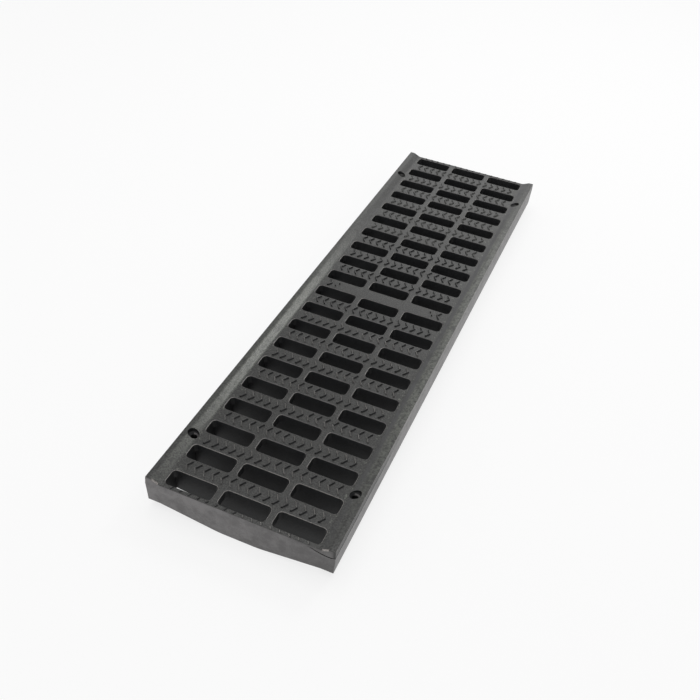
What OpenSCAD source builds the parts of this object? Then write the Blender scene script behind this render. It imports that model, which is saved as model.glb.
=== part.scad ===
// Channel drain grate: one iron casting that drops into a trench channel.
// Three columns and twenty rows of slots, raised side rails, a ribbed belly,
// four countersunk screw holes and a raised chevron tread on every rib.
// Millimetres. X runs across the channel, Y along it, and Z up from the lowest line of the belly.

/* [Casting] */
// Length along the channel
grate_l = 502; // [150:1:1000]
// Width across the channel, measured at the parting line
grate_w = 133.4; // [100:0.1:260]
// Height of the slotted face above the lowest line of the belly
face_h = 25.2; // [18:0.1:40]
// Depth of the parting line below the slotted face
parting_depth = 2.7; // [1:0.1:5]
// Draft of the outer faces, away from the parting line, in degrees
draft_deg = 2; // [0.5:0.1:4]

/* [Side rails] */
// Height of the rails above the slotted face
rail_h = 2.8; // [1:0.1:5]
// Width of the flat on top of a rail
rail_top_w = 4.1; // [2:0.1:6]
// Width of the slope from the rail's flat down to the slotted face
rail_slope_w = 6; // [3:0.1:8]

/* [Belly] */
// Height of the bearing lands above the lowest line of the belly
land_rise = 6.2; // [2:0.1:10]
// Width of each bearing land
land_w = 9.4; // [6:0.1:11]
// Width of the flat along the middle of the belly
belly_flat_w = 28; // [10:0.1:50]
// Thickness of the slotted face, above the pockets between the ribs
face_t = 6.5; // [4:0.1:10]
// Narrowing of a rib's foot on each side, by its draft
rib_draft = 2; // [0.5:0.1:3]

/* [Slots] */
// Distance from one slot's centre to the next, across the grate
slot_pitch_x = 38.1; // [34.5:0.1:60]
// Distance from one row's centre to the next, along the grate
slot_pitch_y = 25.4; // [20:0.1:40]
// Size of a slot across the grate
slot_w = 33.3; // [15:0.1:36]
// Size of a slot along the grate
slot_l = 12.6; // [8:0.1:16]
// Radius of a slot's corners
slot_corner_r = 3; // [1.5:0.1:3.9]
// Width of the eased edge round a slot's mouth
slot_edge = 0.8; // [0.3:0.1:1.2]
// Least margin between the slots and the foot of a rail
slot_margin_x = 1; // [0.5:0.1:3]
// Least margin between the slots and the end of the grate
slot_margin_y = 2.5; // [2:0.1:5]

/* [Screw holes] */
// Distance between the screw holes across the grate
screw_spacing_x = 119; // [117:0.1:120]
// Rows of slots between an end of the grate and its nearest screw hole
screw_row = 2; // [1:1:3]
// Diameter of the recess for the screw's head
screw_head_d = 8; // [7:0.1:10]
// Depth of the recess's upright wall below the top of the rail
screw_head_depth = 3.4; // [2.8:0.1:8]
// Diameter of the hole for the screw
screw_d = 4.8; // [3:0.1:6]

/* [Tread] */
// Distance from one chevron to the next, across the grate
chevron_pitch = 6.42; // [5.5:0.01:9]
// Size of a chevron along the grate
chevron_l = 8.2; // [6:0.1:9.4]
// Depth of a chevron's point
chevron_point = 2.4; // [1:0.1:3]
// Width of a chevron's stroke, across the grate
chevron_stroke = 1.3; // [0.8:0.1:2]
// Height of a chevron above the slotted face
chevron_h = 1.2; // [0.4:0.1:1.5]
// Height of the short strokes along the ends
end_stroke_h = 0.8; // [0.3:0.1:1.2]
// Least margin between the tread and the foot of a rail
chevron_margin = 6; // [3:0.1:10]

/* [Hidden] */
// Overlap that lets one solid run into or cut clean through another
over = 1;
iron = "#474746";
// Heights of the main levels
parting_z = face_h - parting_depth;
top_z = face_h + rail_h;
pocket_z = face_h - face_t;
// Half sizes of the casting and of its field of slots
half_w = grate_w / 2;
half_l = grate_l / 2;
rail_edge_x = half_w - rail_top_w - tan(draft_deg) * (top_z - parting_z);
rail_foot_x = rail_edge_x - rail_slope_w;
// The slots fill the field between the rails and the ends, as many as fit
slot_cols = 1 + floor((2 * (rail_foot_x - slot_margin_x) - slot_w) / slot_pitch_x);
slot_rows = 1 + floor((grate_l - 2 * slot_margin_y - slot_l) / slot_pitch_y);
pocket_half_w = (slot_cols - 1) / 2 * slot_pitch_x + slot_w / 2;
// The screw holes lie on the ribs, each the same number of rows from its end
screw_y = ((slot_rows - 1) / 2 - screw_row + 0.5) * slot_pitch_y;
// The seat under a screw's head is a cone of 90 degrees
screw_cone_h = (screw_head_d - screw_d) / 2;
// The chevrons come in two mirrored halves, as many as fit between the rails
chevrons_half = floor((rail_foot_x - chevron_margin) / chevron_pitch + 0.5);
// The middle rib's field is bare, apart from its outermost chevrons and two studs beside each
middle_rib = floor(slot_rows / 2) - 1;
stud_d = 1.5;
stud_step_x = 2.4;
stud_step_y = 3.6;
// The strokes at the ends are short, to fit between the eased edge and the end
stroke_inset = 0.5;
end_margin = half_l - (slot_rows - 1) / 2 * slot_pitch_y - slot_l / 2;
end_stroke_l = end_margin - slot_edge - stroke_inset;
$fn = 48;

function row_y(row) = (row - (slot_rows - 1) / 2) * slot_pitch_y;
function col_x(col) = (col - (slot_cols - 1) / 2) * slot_pitch_x;
function rib_y(rib) = row_y(rib) + slot_pitch_y / 2;

// Cross-section of the casting, from the belly round the right side to the rail
module half_section() {
  draft_down = tan(draft_deg) * (parting_z - land_rise);
  draft_up = tan(draft_deg) * (top_z - parting_z);
  polygon([
    [0, 0],
    [belly_flat_w / 2, 0],
    [half_w - land_w, land_rise],
    [half_w - draft_down, land_rise],
    [half_w, parting_z],
    [half_w - draft_up, top_z],
    [rail_edge_x, top_z],
    [rail_foot_x, face_h],
    [0, face_h]
  ]);
}

// The section run along the channel
module outline_solid() {
  rotate([90, 0, 0])
    linear_extrude(grate_l, center = true) {
      half_section();
      mirror([1, 0]) half_section();
    }
}

// Side view of the casting, with the draft of its end faces
module end_profile() {
  draft_down = tan(draft_deg) * parting_z;
  draft_up = tan(draft_deg) * (top_z - parting_z);
  polygon([
    [-half_l + draft_down, 0],
    [half_l - draft_down, 0],
    [half_l, parting_z],
    [half_l - draft_up, top_z],
    [-half_l + draft_up, top_z],
    [-half_l, parting_z]
  ]);
}

module blank() {
  intersection() {
    outline_solid();
    rotate([90, 0, 90])
      linear_extrude(grate_w + 2 * over, center = true) end_profile();
  }
}

// Pocket under one row of slots: the drafted space between two ribs
module pocket() {
  foot_flare = rib_draft * (pocket_z + over) / pocket_z;
  rotate([90, 0, 90])
    linear_extrude(2 * pocket_half_w, center = true)
      polygon([
        [-slot_l / 2, pocket_z],
        [slot_l / 2, pocket_z],
        [slot_l / 2 + foot_flare, -over],
        [-slot_l / 2 - foot_flare, -over]
      ]);
}

// Pocket under an end row: its outer side is the upright inner face of the end wall
module end_pocket() {
  intersection() {
    pocket();
    translate([-grate_w / 2, -slot_l / 2, -2 * over])
      cube([grate_w, slot_pitch_y, face_h]);
  }
}

// Half profile of a slot's wall, from the pocket up to the eased mouth, out from a centre line
module slot_wall(reach) {
  polygon([
    [0, pocket_z - over],
    [reach, pocket_z - over],
    [reach, face_h - slot_edge],
    [reach + slot_edge + over, face_h + over],
    [0, face_h + over]
  ]);
}

// A bar of the slot's profile, run straight along Y
module slot_bar(reach, length) {
  rotate([90, 0, 0])
    linear_extrude(length, center = true) {
      slot_wall(reach);
      mirror([1, 0]) slot_wall(reach);
    }
}

// One slot: two crossing bars with a turned corner at each end
module slot() {
  slot_bar(slot_w / 2, slot_l - 2 * slot_corner_r);
  rotate([0, 0, 90]) slot_bar(slot_l / 2, slot_w - 2 * slot_corner_r);
  for (sx = [-1, 1], sy = [-1, 1])
    translate([sx * (slot_w / 2 - slot_corner_r), sy * (slot_l / 2 - slot_corner_r), 0])
      rotate_extrude() slot_wall(slot_corner_r);
}

// Countersunk hole for one screw, through the rail and the bearing land
module screw_hole() {
  cylinder(h = top_z + over, d = screw_d);
  translate([0, 0, top_z - screw_head_depth]) {
    cylinder(h = screw_head_depth + over, d = screw_head_d);
    translate([0, 0, -screw_cone_h])
      cylinder(h = screw_cone_h, d1 = screw_d, d2 = screw_head_d);
  }
}

// One chevron, open towards +X
module chevron() {
  half_l = chevron_l / 2;
  translate([-(chevron_point + chevron_stroke) / 2, 0])
    polygon([
      [0, 0],
      [chevron_point, -half_l],
      [chevron_point + chevron_stroke, -half_l],
      [chevron_stroke, 0],
      [chevron_point + chevron_stroke, half_l],
      [chevron_point, half_l]
    ]);
}

// One rib's tread on the right half: the chevrons from number first outwards
module chevrons(first, flip) {
  for (i = [first : chevrons_half - 1])
    translate([(i + 0.5) * chevron_pitch, 0])
      mirror([flip, 0]) chevron();
}

// One short stroke of an end margin, leaning towards +X as it runs along +Y
module end_stroke() {
  lean = chevron_point * end_stroke_l / (chevron_l / 2);
  translate([-(chevron_stroke + lean) / 2, 0])
    polygon([
      [0, 0],
      [chevron_stroke, 0],
      [chevron_stroke + lean, end_stroke_l],
      [lean, end_stroke_l]
    ]);
}

// The strokes on the right half of the far end margin, in line with the chevrons
module end_strokes() {
  for (i = [0 : chevrons_half - 1])
    translate([(i + 0.5) * chevron_pitch, half_l - stroke_inset - end_stroke_l]) end_stroke();
}

// Two studs on the middle rib, in line with its second chevron from the rail
module studs() {
  for (side = [-1, 1])
    translate([
      (chevrons_half - 1.5) * chevron_pitch - side * stud_step_x / 2,
      side * stud_step_y / 2
    ])
      circle(d = stud_d);
}

// Outline of the tread on the right half of every rib
module rib_tread() {
  for (rib = [0 : slot_rows - 2]) {
    middle = rib == middle_rib;
    translate([0, rib_y(rib)])
      chevrons(middle ? chevrons_half - 1 : 0, rib % 2 == 0 ? 1 : 0);
    if (middle) translate([0, rib_y(rib)]) studs();
  }
}

// An outline of the right half and its mirror image, raised above the slotted face
module raised(height) {
  translate([0, 0, face_h - over])
    linear_extrude(height + over) {
      children();
      mirror([1, 0]) children();
    }
}

module tread() {
  raised(chevron_h) rib_tread();
  raised(end_stroke_h) {
    end_strokes();
    mirror([0, 1]) end_strokes();
  }
}

// The whole casting
module grate() {
  color(iron) {
    difference() {
      blank();
      for (row = [0 : slot_rows - 1])
        translate([0, row_y(row), 0]) {
          if (row == 0) end_pocket();
          else if (row == slot_rows - 1) mirror([0, 1, 0]) end_pocket();
          else pocket();
          for (col = [0 : slot_cols - 1]) translate([col_x(col), 0, 0]) slot();
        }
      for (sx = [-1, 1], sy = [-1, 1])
        translate([sx * screw_spacing_x / 2, sy * screw_y, 0]) screw_hole();
    }
    tread();
  }
}

grate();
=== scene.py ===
# %% [markdown]
# # A channel drain grate in cast iron
#
# The real object is one sand casting that drops into a trench channel: a slotted face between
# two raised rails, with ribs and a belly below and a chevron tread on top. This lesson loads the
# engineering model as a fixed frame, makes a finer mesh of the same casting with rounded edges,
# gives it a cast-iron surface, and lights it the way a catalogue photograph is lit.

# %% Load the frame
import bmesh
import bpy
from math import cos, pi, radians, sin, tan
from mathutils import Matrix, Vector


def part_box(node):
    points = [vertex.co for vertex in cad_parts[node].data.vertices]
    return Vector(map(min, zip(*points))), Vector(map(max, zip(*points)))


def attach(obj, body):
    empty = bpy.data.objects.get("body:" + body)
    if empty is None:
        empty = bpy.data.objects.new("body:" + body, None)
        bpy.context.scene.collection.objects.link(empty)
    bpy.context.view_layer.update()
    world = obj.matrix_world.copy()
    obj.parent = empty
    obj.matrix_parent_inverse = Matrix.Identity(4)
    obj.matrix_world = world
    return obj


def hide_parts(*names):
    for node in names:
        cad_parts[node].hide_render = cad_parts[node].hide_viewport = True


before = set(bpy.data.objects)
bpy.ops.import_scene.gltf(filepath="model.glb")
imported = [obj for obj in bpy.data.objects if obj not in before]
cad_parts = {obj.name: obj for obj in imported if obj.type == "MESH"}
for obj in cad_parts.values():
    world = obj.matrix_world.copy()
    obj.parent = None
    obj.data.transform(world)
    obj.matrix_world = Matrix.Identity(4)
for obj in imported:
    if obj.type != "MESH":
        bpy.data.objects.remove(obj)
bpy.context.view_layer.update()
low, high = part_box("grate")
MM = 0.001
print("casting, mm:", [round(side / MM, 1) for side in high - low])

# %% [markdown]
# ## The camera
#
# A picture's perspective comes from where the camera stands, so the place and the aim come first
# and the lens only crops. The photograph was taken from in front, a little to the right and from
# above, with the camera tipped slightly, and a standard lens. A look-at rotation gives the aim,
# and one more turn about the line of sight gives the tip.

# %% Camera
CAMERA_PLACE = Vector((164.7, -540.6, 450.3)) * MM
CAMERA_AIM = Vector((0.4, -72.6, 25.2)) * MM
CAMERA_TIP = 5.56
SENSOR = 36.0
LENS = 43.69


def make_camera():
    """A camera at the photograph's place, aimed along its line of sight."""
    data = bpy.data.cameras.new("camera")
    data.sensor_width = SENSOR
    data.lens = LENS
    data.clip_start = 0.01
    data.clip_end = 20.0
    camera = bpy.data.objects.new("camera", data)
    bpy.context.collection.objects.link(camera)
    aim = (CAMERA_AIM - CAMERA_PLACE).to_track_quat("-Z", "Y").to_matrix()
    tip = Matrix.Rotation(radians(CAMERA_TIP), 3, "Z")
    camera.matrix_world = Matrix.Translation(CAMERA_PLACE) @ (aim @ tip).to_4x4()
    bpy.context.scene.camera = camera
    return camera


camera = make_camera()
print("camera at, mm:", [round(value / MM) for value in camera.location])

# %% [markdown]
# ## The sizes
#
# Everything below is worked out from the frame's box and from a few sizes that repeat those of
# the engineering model: the pitch of the slots, the rails, the lands and the draft. Keeping them
# together makes it easy to see that the two models are the same casting.

# %% Driving sizes
HALF_W = high.x
HALF_L = high.y
TOP = high.z
RAIL_H = 2.8 * MM
RAIL_TOP_W = 4.1 * MM
RAIL_SLOPE_W = 6.0 * MM
FACE = TOP - RAIL_H
PARTING = FACE - 2.7 * MM
DRAFT = tan(radians(2.0))
LAND = 6.2 * MM
LAND_W = 9.4 * MM
BELLY_HALF_W = 14.0 * MM
CEILING = FACE - 6.5 * MM
RIB_DRAFT = 2.0 * MM

COLUMNS = 3
ROWS = 20
PITCH_X = 38.1 * MM
PITCH_Y = 25.4 * MM
SLOT_W = 33.3 * MM
SLOT_L = 12.6 * MM
SLOT_CORNER = 3.0 * MM
SLOT_EDGE = 0.8 * MM

RAIL_EDGE_X = HALF_W - RAIL_TOP_W - DRAFT * (TOP - PARTING)
RAIL_FOOT_X = RAIL_EDGE_X - RAIL_SLOPE_W
POCKET_HALF_W = (COLUMNS - 1) / 2 * PITCH_X + SLOT_W / 2


def row_y(row):
    """The middle of a row of slots, along the grate."""
    return (row - (ROWS - 1) / 2) * PITCH_Y


def column_x(column):
    """The middle of a column of slots, across the grate."""
    return (column - (COLUMNS - 1) / 2) * PITCH_X


print("rows run from", round(row_y(0) / MM, 1), "to", round(row_y(ROWS - 1) / MM, 1), "mm")

# %% [markdown]
# ## The blank
#
# A founder's pattern starts as a plain bar with the right cross-section, so the mesh does too:
# one polygon of the section, extruded along the channel. The draft of the end faces is a shear of
# the end vertices. Three bevels follow: a wide one where the belly bends, one along the foot and
# the shoulder of each rail's slope, and a narrow one on the outer edges, which the mould leaves
# crisp.

# %% Helpers for meshes
def new_object(name, bm):
    """Turns a finished bmesh into an object at the origin."""
    mesh = bpy.data.meshes.new(name)
    bmesh.ops.recalc_face_normals(bm, faces=bm.faces)
    bm.to_mesh(mesh)
    bm.free()
    piece = bpy.data.objects.new(name, mesh)
    bpy.context.collection.objects.link(piece)
    return piece


def polygon_face(bm, points):
    """One face through the given points."""
    return bm.faces.new([bm.verts.new(point) for point in points])


def extrude(bm, face, vector):
    """Extrudes one face along a vector. A face that others join is carried along, not left."""
    joined = any(len(edge.link_faces) > 1 for edge in face.edges)
    made = bmesh.ops.extrude_face_region(bm, geom=[face], use_keep_orig=True)
    end = next(item for item in made["geom"] if isinstance(item, bmesh.types.BMFace))
    if joined:
        bmesh.ops.delete(bm, geom=[face], context="FACES_ONLY")
    bmesh.ops.translate(bm, vec=vector, verts=end.verts)
    return end


# %% The blank
RAIL_ROUND = 0.9 * MM
BELLY_ROUND = 4.0 * MM
EDGE_ROUND = 0.3 * MM
ROUND_STEPS = 3
MERGE = 0.01 * MM
SHARP = radians(15)


def section():
    """The outline of the casting across the channel, anticlockwise from the belly."""
    right = [
        (BELLY_HALF_W, 0),
        (HALF_W - LAND_W, LAND),
        (HALF_W - DRAFT * (PARTING - LAND), LAND),
        (HALF_W, PARTING),
        (HALF_W - DRAFT * (TOP - PARTING), TOP),
        (RAIL_EDGE_X, TOP),
        (RAIL_FOOT_X, FACE),
    ]
    left = [(-x, z) for x, z in reversed(right)]
    return right + left


def long_edges(bm, reach, bottom, top):
    """The edges that run along the grate within a reach of its middle, between two heights."""
    found = []
    for edge in bm.edges:
        start, end = (vert.co for vert in edge.verts)
        along = abs(end.y - start.y) > HALF_L
        level = bottom - MERGE < start.z < top + MERGE
        if along and level and abs(start.x) < reach + MERGE:
            found.append(edge)
    return found


def round_edges(bm, edges, width):
    """Rounds edges by the same width on both of their faces."""
    bmesh.ops.bevel(
        bm, geom=edges, offset=width, offset_type="OFFSET", affect="EDGES",
        segments=ROUND_STEPS, profile=0.5, material=-1, clamp_overlap=True,
    )


def make_blank():
    """The bar that everything else is cut from, with its draft and rounded edges."""
    bm = bmesh.new()
    start = polygon_face(bm, [(x, -HALF_L, z) for x, z in section()])
    extrude(bm, start, (0, 2 * HALF_L, 0))
    everything = bm.verts[:] + bm.edges[:] + bm.faces[:]
    bmesh.ops.bisect_plane(bm, geom=everything, plane_co=(0, 0, PARTING), plane_no=(0, 0, 1))
    for vert in bm.verts:
        inset = DRAFT * abs(vert.co.z - PARTING)
        vert.co.y += -inset if vert.co.y > 0 else inset
    bmesh.ops.recalc_face_normals(bm, faces=bm.faces)
    round_edges(bm, long_edges(bm, BELLY_HALF_W, 0, 0), BELLY_ROUND)
    round_edges(bm, long_edges(bm, RAIL_EDGE_X, FACE, TOP), RAIL_ROUND)
    sharp = [edge for edge in bm.edges if abs(edge.calc_face_angle_signed(0)) > SHARP]
    round_edges(bm, sharp, EDGE_ROUND)
    return new_object("casting", bm)


casting = make_blank()
print("blank:", len(casting.data.polygons), "faces")

# %% [markdown]
# ## The slots and the pockets
#
# Each slot widens at its mouth in a quarter round. Cutting with a tool of that shape is simpler
# than rounding the edge afterwards: a flat face with four rounded corners is extruded up, and
# its outline is pushed outwards step by step along the quarter round. Below, one long pocket per
# row leaves the drafted ribs standing. A screw hole is half of its outline, spun round its axis.
# All the cutters of a kind are one mesh, so that one Boolean takes them away together.

# %% Slot cutters
CORNER_STEPS = 6
MOUTH_STEPS = 3

# how far a cutter runs past a face, and the hair that keeps its end out of the face's plane
CLEAR = 1.0 * MM
SEAM = 0.01 * MM


def rounded_slot(bm, x, y):
    """A flat face in the outline of one slot, with rounded corners, just below its ceiling: a
    square with sides of 1, scaled to the slot."""
    verts = bmesh.ops.create_grid(bm, x_segments=1, y_segments=1, size=0.5)["verts"]
    bmesh.ops.scale(bm, vec=(SLOT_W, SLOT_L, 1), verts=verts)
    bmesh.ops.translate(bm, vec=(x, y, CEILING - CLEAR), verts=verts)
    made = bmesh.ops.bevel(
        bm, geom=verts, offset=SLOT_CORNER, offset_type="OFFSET", affect="VERTICES",
        segments=CORNER_STEPS, profile=0.5, material=-1, clamp_overlap=False,
    )
    return made["verts"][0].link_faces[0]


def push_outline(face, x, y, spread):
    """Moves a slot's outline outwards by the same width all round its rounded corners."""
    core_x = SLOT_W / 2 - SLOT_CORNER
    core_y = SLOT_L / 2 - SLOT_CORNER
    for vert in face.verts:
        core = Vector((
            x + max(-core_x, min(core_x, vert.co.x - x)),
            y + max(-core_y, min(core_y, vert.co.y - y)),
            vert.co.z,
        ))
        vert.co += (vert.co - core).normalized() * spread


def add_slot(bm, x, y):
    """One slot's cutter: straight walls, a quarter-round mouth and a stub above the face."""
    face = extrude(bm, rounded_slot(bm, x, y), (0, 0, FACE - SLOT_EDGE - CEILING + CLEAR))
    angles = [step / MOUTH_STEPS * pi / 2 for step in range(MOUTH_STEPS + 1)]
    for before, after in zip(angles, angles[1:]):
        rise = (SLOT_EDGE + SEAM) * (sin(after) - sin(before))
        face = extrude(bm, face, (0, 0, rise))
        push_outline(face, x, y, SLOT_EDGE * (cos(before) - cos(after)))
    extrude(bm, face, (0, 0, CLEAR))


def make_slots():
    """All the slots as one cutter."""
    bm = bmesh.new()
    for row in range(ROWS):
        for column in range(COLUMNS):
            add_slot(bm, column_x(column), row_y(row))
    return new_object("slots", bm)


slots = make_slots()
print("slot cutter:", len(slots.data.polygons), "faces")

# %% Pocket cutters
FLARE_STEPS = 6

# a pocket is this much wider than its slots, so that no two walls lie in one plane
CEILING_SEAM = 0.03 * MM


def flank(side, flared):
    """One side of a pocket's outline, from its ceiling down: how far out it lies at each height."""
    half = SLOT_L / 2 + CEILING_SEAM
    points = []
    for step in range(FLARE_STEPS + 1):
        share = step / FLARE_STEPS
        out = half + (RIB_DRAFT * share ** 2 if flared else 0)
        points.append((side * out, CEILING * (1 - share)))
    points.append((points[-1][0], -CLEAR))
    return points


def add_pocket(bm, row):
    """The drafted space under one row. An end row's outer side stands upright."""
    outline = flank(-1, row > 0) + flank(1, row < ROWS - 1)[::-1]
    wall = -POCKET_HALF_W - CEILING_SEAM
    start = polygon_face(bm, [(wall, row_y(row) + out, z) for out, z in outline])
    extrude(bm, start, (-2 * wall, 0, 0))


def make_pockets():
    """The pockets under all the rows as one cutter."""
    bm = bmesh.new()
    for row in range(ROWS):
        add_pocket(bm, row)
    return new_object("pockets", bm)


pockets = make_pockets()
print("pocket cutter:", len(pockets.data.polygons), "faces")

# %% Screw hole cutters
SCREW_X = 59.5 * MM
SCREW_Y = row_y(1) + PITCH_Y / 2
SCREW_HEAD_R = 4.0 * MM
SCREW_R = 2.4 * MM
SCREW_CONE_TOP = TOP - 3.4 * MM
SCREW_CONE_FOOT = SCREW_CONE_TOP - (SCREW_HEAD_R - SCREW_R)
# the seat's ring inside this radius takes a painted highlight in the near holes
SCREW_HIGHLIGHT_R = 3.3 * MM
SCREW_HIGHLIGHT_TOP = SCREW_CONE_FOOT + SCREW_HIGHLIGHT_R - SCREW_R
HOLE_SIDES = 40


def add_hole(bm, x, y):
    """One countersunk hole: half its outline, spun a full turn about the hole's axis."""
    outline = [
        (0, -CLEAR), (SCREW_R, -CLEAR), (SCREW_R, SCREW_CONE_FOOT), (SCREW_HIGHLIGHT_R, SCREW_HIGHLIGHT_TOP),
        (SCREW_HEAD_R, SCREW_CONE_TOP), (SCREW_HEAD_R, TOP + CLEAR), (0, TOP + CLEAR),
    ]
    verts = [bm.verts.new((x + r, y, z)) for r, z in outline]
    edges = [bm.edges.new(pair) for pair in zip(verts, verts[1:])]
    bmesh.ops.spin(
        bm, geom=verts + edges, cent=(x, y, 0), axis=(0, 0, 1), angle=2 * pi,
        steps=HOLE_SIDES, use_merge=True,
    )


def make_holes():
    """All four screw holes as one cutter."""
    bm = bmesh.new()
    for side_x in (-1, 1):
        for side_y in (-1, 1):
            add_hole(bm, side_x * SCREW_X, side_y * SCREW_Y)
    bmesh.ops.remove_doubles(bm, verts=bm.verts, dist=MERGE / 10)
    return new_object("screw holes", bm)


screw_holes = make_holes()
print("screw holes at, mm:", round(SCREW_X / MM, 1), round(SCREW_Y / MM, 1))

# %% [markdown]
# ## The mould's traces
#
# The two halves of a sand mould meet in a line that shows on the casting. It runs along the right
# side at the parting, and on each end it sags and then climbs to the edge of the slotted face,
# where the pattern was stepped. It is cut as a groove, deepest at the front right corner and
# hardly there at the far end: four corners at each point of the route, bridged into a square rod.
# At the front end the gates, through which the iron ran in, were ground off, and each left a small
# sloping flat on the end of a rail.

# %% Parting line and ground gates
LINE_W = 0.9 * MM
LINE_DEPTH = 0.6 * MM
LINE_FADED = 0.05 * MM
LINE_DARK_Y = -228.0 * MM
LINE_FADE_Y = -150.0 * MM

# places of the line on an end face, across and up, in millimetres
LINE_ON_END = [
    (46.0, 25.2), (50.0, 24.0), (53.0, 22.9), (57.0, 21.8), (61.0, 21.3), (64.0, 21.5),
]
LINE_POINTS = [(x * MM, z * MM) for x, z in LINE_ON_END] + [(HALF_W, PARTING)]
LINE_START_X = LINE_POINTS[0][0]
LINE_DARK_X = 57.0 * MM
MIRROR_Y = Vector((1, -1, 1))

GATE_CUT = 1.0 * MM
GATE_START = 0.15
GATE_END = 0.9


def line_height(x):
    """The parting line's height at a place across an end face."""
    for (x1, z1), (x2, z2) in zip(LINE_POINTS, LINE_POINTS[1:]):
        if x < x2:
            return z1 + (x - x1) / (x2 - x1) * (z2 - z1)
    return PARTING


def line_route():
    """The parting line: places on the surface, each with its direction outwards and its depth."""
    front = []
    for x, z in LINE_POINTS:
        outward = Vector((1, -1, 0)) if x == HALF_W else Vector((0, -1, 0))
        share = min(1, (x - LINE_START_X) / (LINE_DARK_X - LINE_START_X))
        depth = LINE_FADED + share * (LINE_DEPTH - LINE_FADED)
        front.append((Vector((x, -HALF_L, z)), outward, depth))
    side = [
        (Vector((HALF_W, LINE_DARK_Y, PARTING)), Vector((1, 0, 0)), LINE_DEPTH),
        (Vector((HALF_W, LINE_FADE_Y, PARTING)), Vector((1, 0, 0)), LINE_FADED),
    ]
    far = []
    for at, outward, _ in reversed(front):
        far.append((at * MIRROR_Y, outward * MIRROR_Y, LINE_FADED))
    return front + side + far


def make_line():
    """The groove's cutter: a square rod that follows the parting line."""
    bm = bmesh.new()
    loops = []
    for at, outward, depth in line_route():
        deep = at - outward * depth
        clear = at + outward * CLEAR
        rise = Vector((0, 0, LINE_W / 2))
        places = (deep - rise, deep + rise, clear + rise, clear - rise)
        corners = [bm.verts.new(place) for place in places]
        loops.append([bm.edges.new((corners[i - 1], corners[i])) for i in range(4)])
    for before, after in zip(loops, loops[1:]):
        bmesh.ops.bridge_loops(bm, edges=before + after)
    bmesh.ops.holes_fill(bm, edges=loops[0] + loops[-1], sides=4)
    return new_object("parting line", bm)


def add_gate(bm, side):
    """A three-sided rod along the front end of a rail's slope, which planes off its edge."""
    foot = Vector((side * RAIL_FOOT_X, -HALF_L, FACE))
    edge = Vector((side * RAIL_EDGE_X, -HALF_L, TOP))
    start = foot.lerp(edge, GATE_START)
    finish = foot.lerp(edge, GATE_END)
    corners = [(-CLEAR, -GATE_CUT - CLEAR), (GATE_CUT + CLEAR, CLEAR), (-2 * CLEAR, 2 * CLEAR)]
    face = polygon_face(bm, [start + Vector((0, y, z)) for y, z in corners])
    extrude(bm, face, finish - start)


def make_gates():
    """Both gates' cutters."""
    bm = bmesh.new()
    for side in (-1, 1):
        add_gate(bm, side)
    return new_object("gates", bm)


parting_line = make_line()
gates = make_gates()
print("parting line:", len(parting_line.data.polygons), "faces")

# %% [markdown]
# ## The tread
#
# The chevrons give a shoe its grip. Each is a low ridge with steep flanks and a rounded back. A
# six-cornered outline is extruded up and then inset twice, each time a little higher, which gives
# the rounded back for only twenty faces. The short strokes along both end margins are made in the
# same way, and the studs on the middle rib are low cones.

# %% Tread
CHEVRON_PITCH = 6.42 * MM
CHEVRON_L = 8.2 * MM
CHEVRON_POINT = 2.4 * MM
CHEVRON_STROKE = 1.3 * MM
CHEVRON_H = 1.2 * MM
CHEVRONS_HALF = 8
MIDDLE_RIB = 9
SINK = 0.3 * MM

# how much of a ridge's height is its flank, and then each inset with its share of the height
RIDGE_FLANK = 0.5
RIDGE_BACK = [(0.32 * MM, 0.4), (0.15 * MM, 0.1)]

STUD_NUMBER = CHEVRONS_HALF - 2
STUD_R = 0.75 * MM
STUD_TAPER = 0.55
STUD_SIDES = 12
STUD_STEP_X = 2.4 * MM
STUD_STEP_Y = 3.6 * MM

END_STROKE_L = 2.1 * MM
END_STROKE_H = 0.8 * MM
END_STROKE_FAR_H = 0.5 * MM
END_STROKE_INSET = 0.5 * MM


def raise_ridge(bm, outline, height):
    """A ridge over an outline: upright flanks, then two insets that rise to its back."""
    start = polygon_face(bm, [(x, y, FACE - SINK) for x, y in outline])
    top = extrude(bm, start, (0, 0, SINK + RIDGE_FLANK * height))
    for inset, rise in RIDGE_BACK:
        bmesh.ops.inset_region(bm, faces=[top], thickness=inset, use_even_offset=True)
        bmesh.ops.translate(bm, vec=(0, 0, rise * height), verts=top.verts)


def add_chevron(bm, x, y, opens):
    """A chevron at x, y that opens towards +X or, with opens at -1, towards -X."""
    half = CHEVRON_L / 2
    inner = -(CHEVRON_POINT + CHEVRON_STROKE) / 2
    local = [
        (inner, 0),
        (inner + CHEVRON_POINT, -half),
        (inner + CHEVRON_POINT + CHEVRON_STROKE, -half),
        (inner + CHEVRON_STROKE, 0),
        (inner + CHEVRON_POINT + CHEVRON_STROKE, half),
        (inner + CHEVRON_POINT, half),
    ]
    if opens < 0:
        local = [(-u, v) for u, v in reversed(local)]
    raise_ridge(bm, [(x + u, y + v) for u, v in local], CHEVRON_H)


def add_end_stroke(bm, x, end):
    """A short stroke on an end margin. It leans outwards as it nears the end. At the far end the
    strokes are worn down, so they hardly break the edge."""
    lean = CHEVRON_POINT * END_STROKE_L / (CHEVRON_L / 2)
    outer = HALF_L - END_STROKE_INSET
    inner = outer - END_STROKE_L
    side = 1 if x > 0 else -1
    start = x - side * lean / 2
    finish = x + side * lean / 2
    half = CHEVRON_STROKE / 2
    outline = [
        (start - half, inner), (start + half, inner),
        (finish + half, outer), (finish - half, outer),
    ]
    if end < 0:
        outline = [(u, -v) for u, v in reversed(outline)]
    raise_ridge(bm, outline, END_STROKE_H if end < 0 else END_STROKE_FAR_H)


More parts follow.
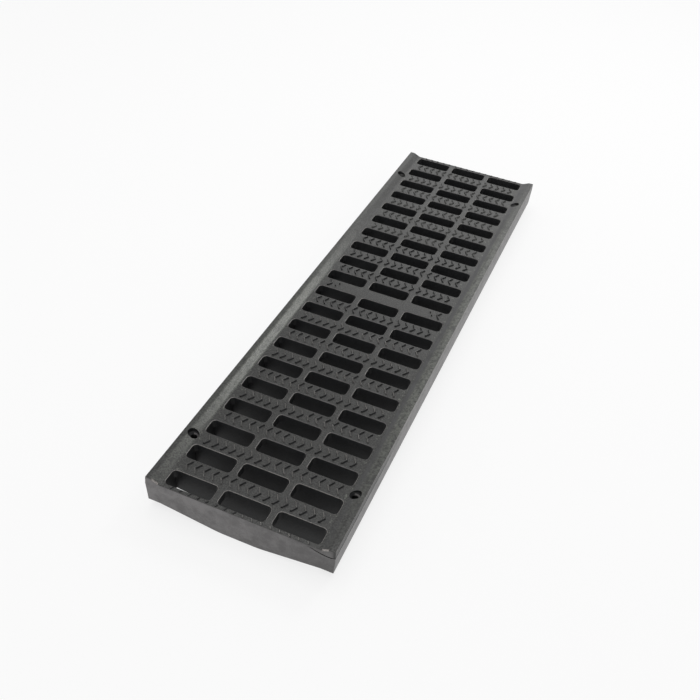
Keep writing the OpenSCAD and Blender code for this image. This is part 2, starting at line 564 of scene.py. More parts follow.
def add_studs(bm, side, y):
    """Two low round studs, where the middle rib's second chevron from the rail would be."""
    x = side * (STUD_NUMBER + 0.5) * CHEVRON_PITCH
    for step in (-1, 1):
        place = Matrix.Translation((
            x - side * step * STUD_STEP_X / 2,
            y + step * STUD_STEP_Y / 2,
            FACE + (CHEVRON_H - SINK) / 2,
        ))
        bmesh.ops.create_cone(
            bm, cap_ends=True, segments=STUD_SIDES, radius1=STUD_R,
            radius2=STUD_R * STUD_TAPER, depth=CHEVRON_H + SINK, matrix=place,
        )


def make_tread():
    """The chevrons of all the ribs, the studs and the strokes at both ends."""
    bm = bmesh.new()
    for rib in range(ROWS - 1):
        y = row_y(rib) + PITCH_Y / 2
        first = CHEVRONS_HALF - 1 if rib == MIDDLE_RIB else 0
        for number in range(first, CHEVRONS_HALF):
            x = (number + 0.5) * CHEVRON_PITCH
            opens = 1 if rib % 2 else -1
            add_chevron(bm, x, y, opens)
            add_chevron(bm, -x, y, -opens)
    for side in (-1, 1):
        add_studs(bm, side, row_y(MIDDLE_RIB) + PITCH_Y / 2)
        for number in range(CHEVRONS_HALF):
            for end in (-1, 1):
                add_end_stroke(bm, side * (number + 0.5) * CHEVRON_PITCH, end)
    return new_object("tread", bm)


tread = make_tread()
print("tread:", len(tread.data.polygons), "faces")

# %% [markdown]
# ## One casting
#
# The cutters and the tread join the blank through Boolean modifiers, each with cutters that don't
# touch each other, which keeps the result closed. The evaluated mesh is then kept and the tools
# are deleted. Cuts that meet in one place can leave a face too thin to see, and merging its corners
# takes it away. Faces that meet at a small angle are shaded smooth, and the large flat faces decide
# the normals beside them, so that the roundings don't stain the flats.

# %% Boolean work
def combine(piece, tool, operation):
    """Adds or takes away a tool's solids, keeps the result and deletes the tool."""
    modifier = piece.modifiers.new(tool.name, "BOOLEAN")
    modifier.operation = operation
    modifier.solver = "MANIFOLD"
    modifier.object = tool
    graph = bpy.context.evaluated_depsgraph_get()
    result = bpy.data.meshes.new_from_object(piece.evaluated_get(graph))
    piece.modifiers.clear()
    old = piece.data
    piece.data = result
    bpy.data.meshes.remove(old)
    bpy.data.objects.remove(tool)


def merge_slivers(mesh):
    """Merges the corners that the cuts left a few thousandths of a millimetre apart."""
    bm = bmesh.new()
    bm.from_mesh(mesh)
    bmesh.ops.remove_doubles(bm, verts=bm.verts, dist=MERGE / 2)
    bm.to_mesh(mesh)
    bm.free()


for cutter in (pockets, slots, screw_holes, parting_line, gates):
    combine(casting, cutter, "DIFFERENCE")
combine(casting, tread, "UNION")
merge_slivers(casting.data)
print("casting:", len(casting.data.polygons), "faces")

# %% Shading
SMOOTH = radians(40)
casting.data.shade_smooth()
casting.data.set_sharp_from_angle(angle=SMOOTH)
weights = casting.modifiers.new("flat faces lead", "WEIGHTED_NORMAL")
weights.keep_sharp = True

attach(casting, "root")
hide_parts("grate")

# %% [markdown]
# ## Cast iron
#
# The casting is grey iron, shaken out of a sand mould and dipped in a thin dark coat. Sand leaves a
# grain of about a millimetre, which shows in the colour and in the sheen. Handling, shoes and a
# grinding wheel have changed the finish from place to place, and light and shade are painted into
# some finishes as well: dark walls and flanks, pale lines on lips and ridges. Each finish is a
# material of its own. That keeps each one plain, and the borders between them lie on the casting's
# own edges.

# %% Material helpers
IRON_IOR = 1.5
NOISE_ROUGHNESS = 0.6


def linear(code):
    """An sRGB hex colour as linear red, green, blue and alpha."""
    parts = [int(code[i:i + 2], 16) / 255 for i in (1, 3, 5)]
    return tuple(p / 12.92 if p <= 0.04045 else ((p + 0.055) / 1.055) ** 2.4 for p in parts) + (1.0,)


def add_node(material, kind, settings=(), links=()):
    """Adds a node, sets its properties and inputs, and links inputs from other nodes or sockets."""
    node = material.node_tree.nodes.new(kind)
    for name, value in dict(settings).items():
        if isinstance(name, str) and hasattr(node, name):
            setattr(node, name, value)
        else:
            node.inputs[name].default_value = value
    for name, source in dict(links).items():
        if isinstance(source, bpy.types.Node):
            source = next(socket for socket in source.outputs if socket.enabled)
        material.node_tree.links.new(source, node.inputs[name])
    return node


def start_material(name, roughness):
    """A new iron material with its shader and the place that its patterns read."""
    material = bpy.data.materials.new(name)
    material.use_nodes = True
    shader = material.node_tree.nodes["Principled BSDF"]
    shader.inputs["Roughness"].default_value = roughness
    shader.inputs["IOR"].default_value = IRON_IOR
    place = add_node(material, "ShaderNodeTexCoord").outputs["Object"]
    return material, shader, place


def two_tones(material, pattern, span, dark, pale):
    """A colour that follows a pattern from dark to pale, over a span of the pattern's values."""
    share = add_node(material, "ShaderNodeMapRange",
                     {"From Min": span[0], "From Max": span[1]}, {"Value": pattern})
    return add_node(material, "ShaderNodeMix",
                    {"data_type": "RGBA", "A": linear(dark), "B": linear(pale)}, {"Factor": share})


def dress(material, shader, colour, grain, strength, depth):
    """Gives a material's shader its colour and the small relief of its grain."""
    relief = add_node(material, "ShaderNodeBump",
                      {"Strength": strength, "Distance": depth}, {"Height": grain})
    material.node_tree.links.new(colour.outputs["Result"], shader.inputs["Base Color"])
    material.node_tree.links.new(relief.outputs["Normal"], shader.inputs["Normal"])
    return material


# %% [markdown]
# ## The dip coat
#
# Over most of the casting the coat is whole. It is no metal to light: it is a dark dielectric with
# a broad, soft sheen. It lies a little thicker here and there, and the rails carry dark smudges.
# Light and shade are painted in as well: pale mottling on the rails is painted sheen, a darker,
# bluish strip on the right rail's slope is painted shade, and so is a dark band along the feet of
# the slopes at the far end. It is built in layers, each one colour laid over the last as far as a
# pattern says, because each kind of mark can then be moved or weakened by itself.

# %% The coat's own colour
COAT_DARK = "#20201f"
COAT_PALE = "#40403e"
COAT_CLOUD = "#2c2c2b"
GRAIN = 1.1 * MM
CLOUD = 8.0 * MM


def clouded_coat(material, place, grain):
    """The coat's colour: it follows the grain and darkens in clouds, where the coat is thicker."""
    coat = two_tones(material, grain, (0.42, 0.6), COAT_DARK, COAT_PALE)
    cloud = add_node(material, "ShaderNodeTexNoise",
                     {"Scale": 1 / CLOUD, "Detail": 2.0, "Roughness": NOISE_ROUGHNESS},
                     {"Vector": place})
    thick = add_node(material, "ShaderNodeMapRange",
                     {"From Min": 0.45, "From Max": 0.95}, {"Value": cloud})
    return add_node(material, "ShaderNodeMix", {"data_type": "RGBA", "B": linear(COAT_CLOUD)},
                    {"Factor": thick, "A": coat})


# %% Painted shade on the right rail's slope
STRIP_FADE = 0.6 * MM
EVEN_HALF_L = 120 * MM
# a darker, bluish colour painted on the right rail's slope: painted shade
SLOPE_SHADE = "#3b3b3d"
SLOPE_SHADE_SHARE = 0.75
SLOPE_SHADE_FRONT_SHARE = 0.2
SLOPE_SHADE_TOP = RAIL_EDGE_X - 2.6 * MM


def rail_pattern(material, across, start, end):
    """A pattern that is 1 on a strip along a rail and fades over about a millimetre at its edges."""
    rise = add_node(material, "ShaderNodeMapRange",
                    {"From Min": start - STRIP_FADE, "From Max": start + STRIP_FADE},
                    {"Value": across})
    fall = add_node(material, "ShaderNodeMapRange",
                    {"From Min": end + STRIP_FADE, "From Max": end - STRIP_FADE},
                    {"Value": across})
    return add_node(material, "ShaderNodeMath", {"operation": "MULTIPLY"}, {0: rise, 1: fall})


def painted_slope_shade(material, axes):
    """Where painted shade, darker and bluish, lies on the right rail's slope: less of it at the front
    end.
    """
    right = rail_pattern(material, axes.outputs["X"], RAIL_FOOT_X, SLOPE_SHADE_TOP)
    along = add_node(material, "ShaderNodeMapRange",
                     {"From Min": -HALF_L, "From Max": -EVEN_HALF_L,
                      "To Min": SLOPE_SHADE_FRONT_SHARE, "To Max": SLOPE_SHADE_SHARE},
                     {"Value": axes.outputs["Y"]})
    return add_node(material, "ShaderNodeMath", {"operation": "MULTIPLY"}, {0: right, 1: along})


# %% Painted sheen: pale mottling and glints
# a pale colour painted where the coat's sheen catches the light: painted sheen, mottled, and glints
SHEEN_MOTTLE = "#676a62"
SHEEN_MOTTLE_SIZE = 1.8 * MM
RIGHT_TOP_SHARE = 0.68
LEFT_TOP_SHARE = 0.25
LEFT_SLOPE_SHARE = 0.78
LEFT_SLOPE_FRONT_SHARE = 0.25
LEFT_SLOPE_LAP = 0.4 * MM
LEFT_SLOPE_FULL_Y = -20 * MM
LEFT_SLOPE_END_Y = 100 * MM
GLINT_SIZE = 2.5 * MM
GLINT_SHARE = 0.7
GLINT_BORDER = 5.0 * MM


def painted_top_sheen(material, place, axes):
    """Painted sheen, mottled, on top of the right rail and, fainter, of the left one, away from the
    ends.
    """
    right = add_node(material, "ShaderNodeMapRange",
                     {"From Min": SLOPE_SHADE_TOP - STRIP_FADE,
                      "From Max": SLOPE_SHADE_TOP + STRIP_FADE, "To Max": RIGHT_TOP_SHARE},
                     {"Value": axes.outputs["X"]})
    left = add_node(material, "ShaderNodeMapRange",
                    {"From Min": -RAIL_EDGE_X, "From Max": -RAIL_EDGE_X - STRIP_FADE,
                     "To Max": LEFT_TOP_SHARE}, {"Value": axes.outputs["X"]})
    either = add_node(material, "ShaderNodeMath", {"operation": "MAXIMUM"}, {0: right, 1: left})
    along = add_node(material, "ShaderNodeMath", {"operation": "ABSOLUTE"},
                     {0: axes.outputs["Y"]})
    ends = add_node(material, "ShaderNodeMapRange",
                    {"From Min": HALF_L, "From Max": EVEN_HALF_L}, {"Value": along})
    tops = add_node(material, "ShaderNodeMath", {"operation": "MULTIPLY"}, {0: either, 1: ends})
    spots = add_node(material, "ShaderNodeTexNoise",
                     {"Scale": 1 / SHEEN_MOTTLE_SIZE, "Detail": 4.0, "Roughness": NOISE_ROUGHNESS},
                     {"Vector": place})
    patches = add_node(material, "ShaderNodeMapRange",
                       {"From Min": 0.35, "From Max": 0.6}, {"Value": spots})
    return add_node(material, "ShaderNodeMath", {"operation": "MULTIPLY"}, {0: patches, 1: tops})


def painted_slope_sheen(material, axes, grain):
    """Finer painted sheen, mottled, on the left rail's slope, from the front end to a little past the
    middle.
    """
    slope = rail_pattern(material, axes.outputs["X"],
                         -RAIL_EDGE_X - LEFT_SLOPE_LAP, -RAIL_FOOT_X)
    front = add_node(material, "ShaderNodeMapRange",
                     {"From Min": -HALF_L, "From Max": -EVEN_HALF_L,
                      "To Min": LEFT_SLOPE_FRONT_SHARE}, {"Value": axes.outputs["Y"]})
    back = add_node(material, "ShaderNodeMapRange",
                    {"From Min": LEFT_SLOPE_END_Y, "From Max": LEFT_SLOPE_FULL_Y,
                     "To Max": LEFT_SLOPE_SHARE}, {"Value": axes.outputs["Y"]})
    length = add_node(material, "ShaderNodeMath", {"operation": "MULTIPLY"}, {0: front, 1: back})
    left = add_node(material, "ShaderNodeMath", {"operation": "MULTIPLY"}, {0: slope, 1: length})
    close = add_node(material, "ShaderNodeMapRange",
                     {"From Min": 0.25, "From Max": 0.55}, {"Value": grain})
    return add_node(material, "ShaderNodeMath", {"operation": "MULTIPLY"}, {0: close, 1: left})


def painted_border_glints(material, place, across):
    """A few pale painted glints on the face beside the rails."""
    border = rail_pattern(material, across, POCKET_HALF_W - GLINT_BORDER, RAIL_FOOT_X)
    few = add_node(material, "ShaderNodeTexNoise",
                   {"Scale": 1 / GLINT_SIZE, "Detail": 2.0, "Roughness": NOISE_ROUGHNESS},
                   {"Vector": place})
    glints = add_node(material, "ShaderNodeMapRange",
                      {"From Min": 0.6, "From Max": 0.68, "To Max": GLINT_SHARE}, {"Value": few})
    return add_node(material, "ShaderNodeMath", {"operation": "MULTIPLY"}, {0: glints, 1: border})


# %% Dark smudges, and painted shade at the slopes' feet
SMUDGE = 4.0 * MM
SMUDGE_STRETCH = (1.0, 0.5, 1.0)
SMUDGE_SHARE = 0.6
# a dark band painted along the foot of each slope at the far end: painted shade in the crease
FOOT_SHADE_W = 3.0 * MM
FOOT_SHADE_Y = 110 * MM
FOOT_SHADE_FADE = 30 * MM
FAR_MARGIN = 3.6 * MM


def smudges_and_painted_shade(material, place, axes, across):
    """Smudges on the rails, drawn out along the grate. At the far end painted shade runs along the
    foot of each slope, in the crease, and the margin is dark."""
    stretch = add_node(material, "ShaderNodeMapping", {"Scale": SMUDGE_STRETCH},
                       {"Vector": place})
    smoke = add_node(material, "ShaderNodeTexNoise",
                     {"Scale": 1 / SMUDGE, "Detail": 3.0, "Roughness": NOISE_ROUGHNESS},
                     {"Vector": stretch})
    dark = add_node(material, "ShaderNodeMapRange",
                    {"From Min": 0.5, "From Max": 0.68, "To Max": SMUDGE_SHARE},
                    {"Value": smoke})
    rails = add_node(material, "ShaderNodeMapRange",
                     {"From Min": RAIL_FOOT_X, "From Max": RAIL_FOOT_X + STRIP_FADE},
                     {"Value": across})
    smudges = add_node(material, "ShaderNodeMath", {"operation": "MULTIPLY"}, {0: dark, 1: rails})

    # painted shade along the foot of each slope, at the far end
    foot = rail_pattern(material, across, RAIL_FOOT_X, RAIL_FOOT_X + FOOT_SHADE_W)
    far = add_node(material, "ShaderNodeMapRange",
                   {"From Min": FOOT_SHADE_Y, "From Max": FOOT_SHADE_Y + FOOT_SHADE_FADE},
                   {"Value": axes.outputs["Y"]})
    uneven = add_node(material, "ShaderNodeMapRange",
                      {"From Min": 0.35, "From Max": 0.6, "To Max": SMUDGE_SHARE},
                      {"Value": smoke})
    foot_far = add_node(material, "ShaderNodeMath", {"operation": "MULTIPLY"}, {0: foot, 1: far})
    foot_shade = add_node(material, "ShaderNodeMath", {"operation": "MULTIPLY"},
                      {0: foot_far, 1: uneven})

    margin = add_node(material, "ShaderNodeMapRange",
                      {"From Min": HALF_L - FAR_MARGIN, "From Max": HALF_L - FAR_MARGIN + STRIP_FADE},
                      {"Value": axes.outputs["Y"]})
    far_shade_and_margin = add_node(material, "ShaderNodeMath", {"operation": "MAXIMUM"},
                         {0: foot_shade, 1: margin})
    return add_node(material, "ShaderNodeMath", {"operation": "MAXIMUM"},
                    {0: smudges, 1: far_shade_and_margin})


# %% Dip-coated cast iron
def coat_with_painted_sheen_and_shade():
    """The thin dark coat over sand-cast iron: grainy and cloudy, with painted sheen mottled along the
    rails and painted shade on the right slope and at the far feet of the slopes.
    """
    material, shader, place = start_material("dip-coated sand-cast iron, painted sheen and shade", roughness=0.34)
    grain = add_node(material, "ShaderNodeTexNoise",
                     {"Scale": 1 / GRAIN, "Detail": 4.0, "Roughness": NOISE_ROUGHNESS},
                     {"Vector": place})
    axes = add_node(material, "ShaderNodeSeparateXYZ", {}, {"Vector": place})
    across = add_node(material, "ShaderNodeMath", {"operation": "ABSOLUTE"},
                      {0: axes.outputs["X"]})
    # pale holds the painted sheen and glints
    pale = painted_top_sheen(material, place, axes)
    for more in (painted_slope_sheen(material, axes, grain), painted_border_glints(material, place, across)):
        pale = add_node(material, "ShaderNodeMath", {"operation": "MAXIMUM"}, {0: pale, 1: more})
    # layers: painted shade on the right slope, painted sheen, then smudges with painted shade at the
    # slopes' far feet
    layers = [
        (SLOPE_SHADE, painted_slope_shade(material, axes)),
        (SHEEN_MOTTLE, pale),
        (COAT_DARK, smudges_and_painted_shade(material, place, axes, across)),
    ]
    colour = clouded_coat(material, place, grain)
    for tone, share in layers:
        colour = add_node(material, "ShaderNodeMix", {"data_type": "RGBA", "B": linear(tone)},
                          {"Factor": share, "A": colour})
    return dress(material, shader, colour, grain, strength=0.35, depth=0.2 * MM)


# %% [markdown]
# ## The coat in painted shade
#
# In the slots and on the flanks of the tread the coat is painted nearly black, as painted shade,
# most of all on the short walls at the ends of the slots. On the flanks near the far end a paler
# colour lifts that painted shade. One function makes all three, since only their colours differ.

# %% Coats in painted shade: plain, deep and lifted
# coat colours with painted shade: plain, deep on the short walls, and lifted on the far flanks
SHADE_PAINTED_DARK = "#121315"
SHADE_PAINTED_PALE = "#212224"
DEEP_SHADE_PAINTED_DARK = "#08090a"
DEEP_SHADE_PAINTED_PALE = "#111213"
LIFTED_SHADE_PAINTED_DARK = "#4a4a49"
LIFTED_SHADE_PAINTED_PALE = "#5e5e5c"


def painted_shade_coat(name, dark, pale):
    """The dark coat with painted shade in its two colours, on the walls of the slots and the
    flanks of the tread. The deeper the painted shade, the darker its two colours are."""
    material, shader, place = start_material(name, roughness=0.55)
    grain = add_node(material, "ShaderNodeTexNoise",
                     {"Scale": 1 / GRAIN, "Detail": 3.0, "Roughness": NOISE_ROUGHNESS},
                     {"Vector": place})
    colour = two_tones(material, grain, (0.35, 0.7), dark, pale)
    return dress(material, shader, colour, grain, strength=0.4, depth=0.2 * MM)


# %% [markdown]
# ## Where the iron shows, and painted highlights
#
# On the outer sides handling has rubbed the coat, and the iron's own grey comes through. The same
# grey is painted as a highlight on some lips, on the front ends of some ridges and on the near
# screw seats. The lips of the slots and the shoulders of the ridges carry pale painted highlights.
# A grinding wheel has left two flats, the only places that shine as metal does.

# %% Rubbed cast iron, also painted as highlights
# the grey of rubbed iron, also used for painted highlights
RUBBED_AND_HIGHLIGHT_DARK = "#585656"
RUBBED_AND_HIGHLIGHT_PALE = "#706e6e"
BARE_GRAIN = 1.2 * MM
COAT_LEFT_Y = -190 * MM
COAT_LEFT_FADE = 60 * MM
OUTER_START = 3 * MM
OUTER_FULL = 1 * MM
END_COAT_SHARE = 0.35


def coat_left(material, place):
    """A pattern of the coat left on the outer sides: above the parting line on the right side, near
    the front, and across the front end, more towards its right corner."""
    axes = add_node(material, "ShaderNodeSeparateXYZ", {}, {"Vector": place})
    above = add_node(material, "ShaderNodeMapRange",
                     {"From Min": PARTING, "From Max": PARTING + STRIP_FADE},
                     {"Value": axes.outputs["Z"]})
    front = add_node(material, "ShaderNodeMapRange",
                     {"From Min": COAT_LEFT_Y + COAT_LEFT_FADE, "From Max": COAT_LEFT_Y},
                     {"Value": axes.outputs["Y"]})
    side = add_node(material, "ShaderNodeMapRange",
                    {"From Min": HALF_W - OUTER_START, "From Max": HALF_W - OUTER_FULL},
                    {"Value": axes.outputs["X"]})
    corner = add_node(material, "ShaderNodeMath", {"operation": "MULTIPLY"}, {0: above, 1: front})
    on_side = add_node(material, "ShaderNodeMath", {"operation": "MULTIPLY"}, {0: corner, 1: side})
    end = add_node(material, "ShaderNodeMapRange",
                   {"From Min": OUTER_START - HALF_L, "From Max": OUTER_FULL - HALF_L},
                   {"Value": axes.outputs["Y"]})
    right = add_node(material, "ShaderNodeMapRange",
                     {"From Max": HALF_W, "To Max": END_COAT_SHARE}, {"Value": axes.outputs["X"]})
    on_end = add_node(material, "ShaderNodeMath", {"operation": "MULTIPLY"}, {0: end, 1: right})
    return add_node(material, "ShaderNodeMath", {"operation": "MAXIMUM"}, {0: on_side, 1: on_end})


def rubbed_iron_and_highlights():
    """The outer sides: the coat is thin and rubbed, so the iron's own grey comes through. The same
    grey is painted as highlights on some lips, ridge ends and the near screw seats.
    """
    material, shader, place = start_material("rubbed sand-cast iron and painted highlights", roughness=0.4)
    grain = add_node(material, "ShaderNodeTexNoise",
                     {"Scale": 1 / BARE_GRAIN, "Detail": 2.0, "Roughness": NOISE_ROUGHNESS},
                     {"Vector": place})
    cloud = add_node(material, "ShaderNodeTexNoise",
                     {"Scale": 1 / CLOUD, "Detail": 2.0, "Roughness": NOISE_ROUGHNESS},
                     {"Vector": place})
    both = add_node(material, "ShaderNodeMath", {"operation": "MULTIPLY_ADD", 1: 0.5},
                    {0: grain, 2: cloud})
    # rubbed: the grey of rubbed iron, also the colour of painted highlights
    rubbed = two_tones(material, both, (0.6, 0.9), RUBBED_AND_HIGHLIGHT_DARK, RUBBED_AND_HIGHLIGHT_PALE)
    colour = add_node(material, "ShaderNodeMix", {"data_type": "RGBA", "B": linear(COAT_DARK)},
                      {"Factor": coat_left(material, place), "A": rubbed})
    return dress(material, shader, colour, grain, strength=0.25, depth=0.1 * MM)


# %% Painted highlights on edges
# pale greys for painted highlights
HIGHLIGHT_PAINTED_DARK = "#6a6866"
HIGHLIGHT_PAINTED_PALE = "#94918e"


def painted_highlight_edges():
    """Pale grey with a soft shine, painted on lips, ridge shoulders and edges: painted highlights."""
    material, shader, place = start_material("cast iron, painted highlights", roughness=0.35)
    grain = add_node(material, "ShaderNodeTexNoise",
                     {"Scale": 1 / BARE_GRAIN, "Detail": 3.0, "Roughness": NOISE_ROUGHNESS},
                     {"Vector": place})
    colour = two_tones(material, grain, (0.35, 0.6), HIGHLIGHT_PAINTED_DARK, HIGHLIGHT_PAINTED_PALE)
    return dress(material, shader, colour, grain, strength=0.2, depth=0.1 * MM)


# %% Ground iron
GROUND_DARK = "#6e6b69"
GROUND_PALE = "#b5b0ac"
GROUND_METAL = 0.6
SCRATCH = 0.4 * MM


def ground_iron():
    """Bare iron where a gate was ground off: bright metal with short scratches."""
    material, shader, place = start_material("ground grey iron", roughness=0.4)
    shader.inputs["Metallic"].default_value = GROUND_METAL
    scratches = add_node(material, "ShaderNodeTexNoise",
                         {"Scale": 1 / SCRATCH, "Detail": 2.0, "Roughness": NOISE_ROUGHNESS},
                         {"Vector": place})
    colour = two_tones(material, scratches, (0.35, 0.65), GROUND_DARK, GROUND_PALE)
    return dress(material, shader, colour, scratches, strength=0.3, depth=0.05 * MM)


# %% [markdown]
# ## Where each finish goes
#
# Each face is looked at once. Its middle and its normal say whether it is a lip, a wall, a seat, a
# flank of the tread or an outer side, and how far along the grate it lies, since the painted shade
# and highlights, like the coat and wear, differ between the ends. Rules like these can be changed
# one at a time, which faces picked by hand can't.

# %% Finishes by place
# in the order in which the casting takes its materials
COATED, RUBBED_AND_HIGHLIGHT, GROUND, SHADE_PAINTED, DEEP_SHADE_PAINTED, LIFTED_SHADE_PAINTED, HIGHLIGHT_PAINTED = range(7)

# limits for one part or another of a face's normal
UPRIGHT = 0.3
END_CAP = 0.6
SIDE_WALL = 0.6
GATE_TILT = 0.6
SHOULDER = 0.75
LEVEL = 0.95

# places along the grate, the depth of its outer skin and the least area of a ground flat
LIFTED_SHADE_FROM = 80 * MM
HIGHLIGHT_REACH = -40 * MM
LIP_HIGHLIGHT_REACH = -190 * MM
SKIN = 1.2 * MM
GATE_AREA = 1.0 * MM * MM


def opens_right(x, y):
    """Whether the chevrons about a place open towards +X."""
    rib = round(y / PITCH_Y + MIDDLE_RIB)
    return (rib % 2 == 1) == (x > 0)


def tread_finish(normal, x, y):
    """A ridge's flanks take painted shade, lifted by a paler colour towards the far end. Near the
    front, its left shoulder and the front ends of some ridges take painted highlights. The strokes
    on the far end margin and on the left half of the front margin are all in painted shade; on the
    right half of the front margin their left flanks take a painted highlight."""
    # the strokes on the far end margin: all in painted shade
    if y > HALF_L - END_STROKE_INSET - END_STROKE_L:
        return SHADE_PAINTED
    if normal.z > SHOULDER:
        return COATED
    # flanks near the far end: painted shade, lifted by a paler colour
    if y > LIFTED_SHADE_FROM:
        return LIFTED_SHADE_PAINTED
    # the front margin: painted shade on its left half; on its right half, a painted highlight on left
    # flanks
    if y < END_STROKE_INSET + END_STROKE_L - HALF_L:
        if x < 0:
            return SHADE_PAINTED
        return HIGHLIGHT_PAINTED if normal.x < -UPRIGHT else COATED
    # the front ends of these ridges near the front: painted pale, a painted highlight
    if normal.y < -END_CAP and y < HIGHLIGHT_REACH and opens_right(x, y):
        return RUBBED_AND_HIGHLIGHT
    # left shoulders near the front: painted highlight
    if normal.z > UPRIGHT and normal.x < -UPRIGHT and y < HIGHLIGHT_REACH:
        return HIGHLIGHT_PAINTED
    if normal.z > UPRIGHT and normal.y > UPRIGHT:
        return COATED
    # the remaining flanks: painted shade
    return SHADE_PAINTED


def in_dark_line(center):
    """Whether a place is in the dark part of the parting line, about the front right corner."""
    near = abs(center.z - line_height(center.x)) < LINE_W / 2 + SEAM
    return near and center.x > LINE_DARK_X and center.y < LINE_DARK_Y


def finish_of(face):
    """Which finish a face takes, from where it lies and which way it faces."""
    center, normal = face.center, face.normal
    x, y, z = abs(center.x), abs(center.y), center.z
    on_end = y > HALF_L - SKIN
    outside = on_end or x > HALF_W - SKIN

    on_tread = z > FACE + SEAM and x < RAIL_FOOT_X - RAIL_ROUND
    if on_tread and not (on_end and abs(normal.y) > LEVEL):
        return tread_finish(normal, center.x, center.y)
    # the deep part of the parting groove, about the front right corner: painted shade
    if outside and in_dark_line(center):
        return SHADE_PAINTED

    # a pale line painted along the rounded right edge: painted highlight
    on_right_edge = z > TOP - EDGE_ROUND - SEAM and center.x > RAIL_EDGE_X + RAIL_ROUND
    if on_right_edge and outside and UPRIGHT < normal.x < LEVEL:
        return HIGHLIGHT_PAINTED

    # lips that face the front or the sides: painted highlights, the palest on lips facing +X and near
    # the front
    on_lip = FACE - SLOT_EDGE < z < FACE and x < POCKET_HALF_W + SLOT_EDGE and not on_end
    if on_lip and UPRIGHT < normal.z < SHOULDER and normal.y < UPRIGHT:
        return HIGHLIGHT_PAINTED if normal.x > UPRIGHT or center.y < LIP_HIGHLIGHT_REACH else RUBBED_AND_HIGHLIGHT

    # upright faces: rubbed iron on the outer sides; inside, painted shade, deeper on the slots' short
    # walls
    if abs(normal.z) < UPRIGHT:
        if outside:
            return RUBBED_AND_HIGHLIGHT
        return DEEP_SHADE_PAINTED if abs(normal.x) > SIDE_WALL else SHADE_PAINTED

    # near screw seats: a painted highlight on the lower ring, painted shade on the rest
    on_seat = SCREW_CONE_FOOT < z < SCREW_CONE_TOP and UPRIGHT < normal.z < SHOULDER
    if on_seat and center.y < 0:
        return RUBBED_AND_HIGHLIGHT if z < SCREW_HIGHLIGHT_TOP and normal.x < UPRIGHT else SHADE_PAINTED

    on_gate = on_end and RAIL_FOOT_X < x < RAIL_EDGE_X and face.area > GATE_AREA
    if on_gate and normal.y < -GATE_TILT and normal.z > GATE_TILT:
        return GROUND
    return COATED


def finish_faces(mesh, materials):
    """Gives a mesh its materials and each face its finish."""
    mesh.materials.clear()
    for material in materials:
        mesh.materials.append(material)
    for face in mesh.polygons:
        face.material_index = finish_of(face)


finish_faces(casting.data, [
    coat_with_painted_sheen_and_shade(),
    rubbed_iron_and_highlights(),
    ground_iron(),
    painted_shade_coat("black dip coat, painted shade", SHADE_PAINTED_DARK, SHADE_PAINTED_PALE),
    painted_shade_coat("black dip coat, deep painted shade", DEEP_SHADE_PAINTED_DARK, DEEP_SHADE_PAINTED_PALE),
    painted_shade_coat("dip coat, painted paler over shade", LIFTED_SHADE_PAINTED_DARK, LIFTED_SHADE_PAINTED_PALE),
    painted_highlight_edges(),
])
print("finishes:", [material.name for material in casting.data.materials])

# %% [markdown]
# ## The studio
#
# The photograph is a packshot on white: soft light from above, a small softbox behind the right
# shoulder of the grate, which draws the pale lines on its edges, a large one far behind, whose
# sheen brightens the far end, and a white floor that lights the upright sides from below. The
# floor shows as white to the camera and in reflections, mixed with real paper so that it keeps
# the grate's shadow. Under the grate that white is painted dimmer, to the camera and in
# reflections: a painted shadow.

# %% Floor, lights and world
FLOOR_SIZE = 4.0
FLOOR_GAP = 0.1 * MM
PAPER = "#f4f4f4"
PAPER_ROUGHNESS = 0.9
FLOOR_GLOW = 0.8
# under the grate the floor's white is painted dimmer: a painted shadow, to the camera and in
# reflections
SHADE_GLOW = 0.3
FLOOR_SHINE = 0.6
SHADE_SHINE = 0.1
SHADE_EDGE = 30.0 * MM


def painted_shadow_mask(material):
    """A mask for the painted shadow on the floor: it falls from 1 round the grate to 0 under it."""
    place = add_node(material, "ShaderNodeTexCoord").outputs["Object"]
    axes = add_node(material, "ShaderNodeSeparateXYZ", {}, {"Vector": place})
    across = add_node(material, "ShaderNodeMath", {"operation": "ABSOLUTE"}, {0: axes.outputs["X"]})
    along = add_node(material, "ShaderNodeMath", {"operation": "ABSOLUTE"}, {0: axes.outputs["Y"]})
    beside = add_node(material, "ShaderNodeMapRange",
                      {"From Min": HALF_W - SHADE_EDGE, "From Max": HALF_W}, {"Value": across})
    beyond = add_node(material, "ShaderNodeMapRange",
                      {"From Min": HALF_L - SHADE_EDGE, "From Max": HALF_L}, {"Value": along})
    return add_node(material, "ShaderNodeMath", {"operation": "MAXIMUM"}, {0: beside, 1: beyond})


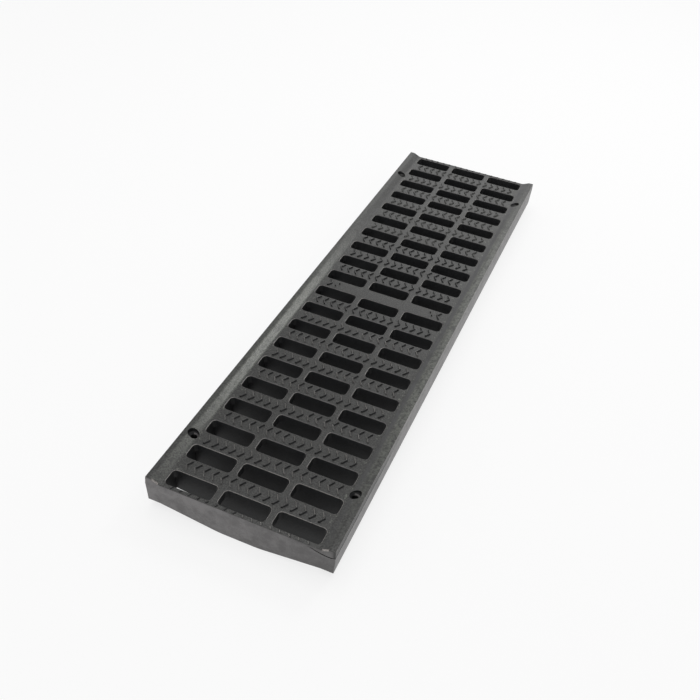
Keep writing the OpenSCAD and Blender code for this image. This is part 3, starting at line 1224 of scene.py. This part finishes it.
def white_floor():
    """White paper that also shows as plain white to the camera and in glossy reflections, painted
    dimmer under the grate as a painted shadow.
    """
    material = bpy.data.materials.new("white paper")
    material.use_nodes = True
    nodes = material.node_tree.nodes
    paper = nodes["Principled BSDF"]
    paper.inputs["Base Color"].default_value = linear(PAPER)
    paper.inputs["Roughness"].default_value = PAPER_ROUGHNESS
    rays = add_node(material, "ShaderNodeLightPath")
    clear = painted_shadow_mask(material)
    shaded = add_node(material, "ShaderNodeMapRange",
                      {"To Min": SHADE_GLOW, "To Max": FLOOR_GLOW}, {"Value": clear})
    glossy = add_node(material, "ShaderNodeMapRange",
                      {"To Min": SHADE_SHINE, "To Max": FLOOR_SHINE}, {"Value": clear})
    seen = add_node(material, "ShaderNodeMath", {"operation": "MULTIPLY"},
                    {0: rays.outputs["Is Camera Ray"], 1: shaded})
    mirrored = add_node(material, "ShaderNodeMath", {"operation": "MULTIPLY"},
                        {0: rays.outputs["Is Glossy Ray"], 1: glossy})
    share = add_node(material, "ShaderNodeMath", {"operation": "MAXIMUM"}, {0: seen, 1: mirrored})
    white = add_node(material, "ShaderNodeEmission", {"Color": (1, 1, 1, 1), "Strength": 1.0})
    mixed = add_node(material, "ShaderNodeMixShader", {}, {0: share, 1: paper, 2: white})
    material.node_tree.links.new(mixed.outputs["Shader"], nodes["Material Output"].inputs["Surface"])
    return material


def make_floor():
    """A large white sheet, a hair below the lowest line of the belly."""
    bm = bmesh.new()
    bmesh.ops.create_grid(bm, x_segments=1, y_segments=1, size=FLOOR_SIZE)
    floor_sheet = new_object("floor", bm)
    floor_sheet.location.z = -FLOOR_GAP
    floor_sheet.data.materials.append(white_floor())


def make_light(name, place, aim, size, power):
    """A square area light at a place, turned towards an aim."""
    data = bpy.data.lights.new(name, "AREA")
    data.shape = "SQUARE"
    data.size = size
    data.energy = power
    light = bpy.data.objects.new(name, data)
    bpy.context.collection.objects.link(light)
    light.location = place
    light.rotation_euler = (Vector(aim) - Vector(place)).to_track_quat("-Z", "Y").to_euler()


def make_world(horizon, zenith):
    """White light from all round, brighter from the white backdrop than from the dark ceiling."""
    world = bpy.data.worlds.new("studio")
    world.use_nodes = True
    background = world.node_tree.nodes["Background"]
    place = add_node(world, "ShaderNodeTexCoord").outputs["Generated"]
    axes = add_node(world, "ShaderNodeSeparateXYZ", {}, {"Vector": place})
    level = add_node(world, "ShaderNodeMapRange",
                     {"To Min": horizon, "To Max": zenith}, {"Value": axes.outputs["Z"]})
    world.node_tree.links.new(level.outputs["Result"], background.inputs["Strength"])
    background.inputs["Color"].default_value = (1, 1, 1, 1)
    bpy.context.scene.world = world


make_floor()
make_light("overhead softbox", (-0.18, 0.05, 1.3), aim=(0, 0, 0), size=0.8, power=4.7)
make_light("right back softbox", (0.36, 0.8, 0.9), aim=(0, -0.05, 0), size=0.3, power=2.6)
make_light("far softbox", (-0.2, 1.5, 0.95), aim=(0, 0.1, 0), size=0.8, power=2.0)
make_world(horizon=1.0, zenith=0.35)
scene = bpy.context.scene
scene.view_settings.view_transform = "Standard"
